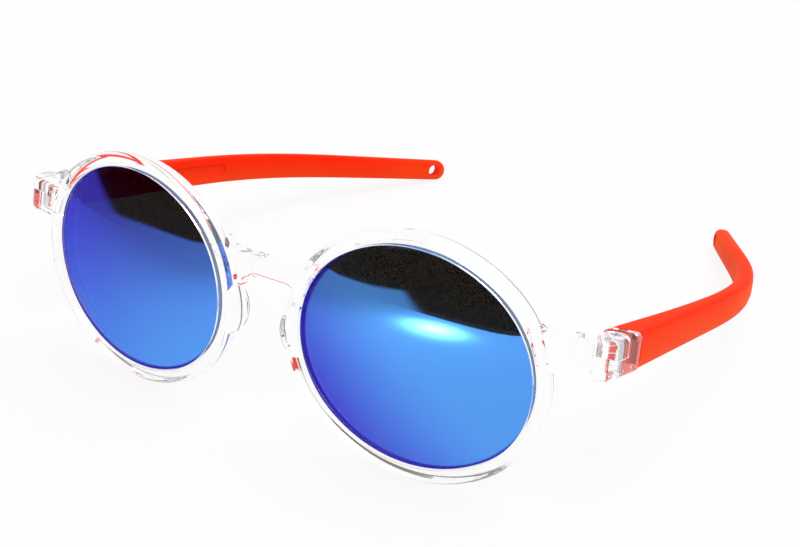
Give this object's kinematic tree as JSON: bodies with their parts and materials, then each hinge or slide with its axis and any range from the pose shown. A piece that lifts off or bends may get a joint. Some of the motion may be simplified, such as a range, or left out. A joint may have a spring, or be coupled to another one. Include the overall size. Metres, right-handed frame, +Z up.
{
  "type": "kids_sunglasses",
  "caption": "Child's round sunglasses with a clear one-piece front, blue mirrored lenses and folding orange temples that end in a cord hole",
  "frame": {"origin": "middle of the bounding box at the level of the surface that the sunglasses rest on, with the temples open", "axes": "X to the wearer's left as seen from the front right side of the picture, Y from the lenses back to the temple tips, Z up"},
  "size_m": [0.1222, 0.1034, 0.0408],
  "materials": {
    "clear_front": "gloss",
    "clear_hinge": "gloss",
    "lens": "gloss",
    "arm": "satin",
    "screw": "satin",
    "washer": "satin"
  },
  "bodies": {
    "front": {"front_frame": "clear_front", "lens_left": "lens", "lens_right": "lens"},
    "temple_left": {"temple_hinge_left": "clear_hinge", "temple_arm_left": "arm", "hinge_screw_left": "screw", "hinge_washer_left": "washer"},
    "temple_right": {"temple_hinge_right": "clear_hinge", "temple_arm_right": "arm", "hinge_screw_right": "screw", "hinge_washer_right": "washer"}
  },
  "joints": [
    {"name": "temple_right_fold", "type": "hinge", "parent": "front", "child": "temple_right", "pos_m": [0.05875, -0.03751, 0.02508], "axis": [0, 0.2543, 0.9671], "range_deg": [0, 77]},
    {"name": "temple_left_fold", "type": "hinge", "parent": "front", "child": "temple_left", "pos_m": [-0.05875, -0.03751, 0.02508], "axis": [0, -0.2543, -0.9671], "range_deg": [0, 68]}
  ]
}
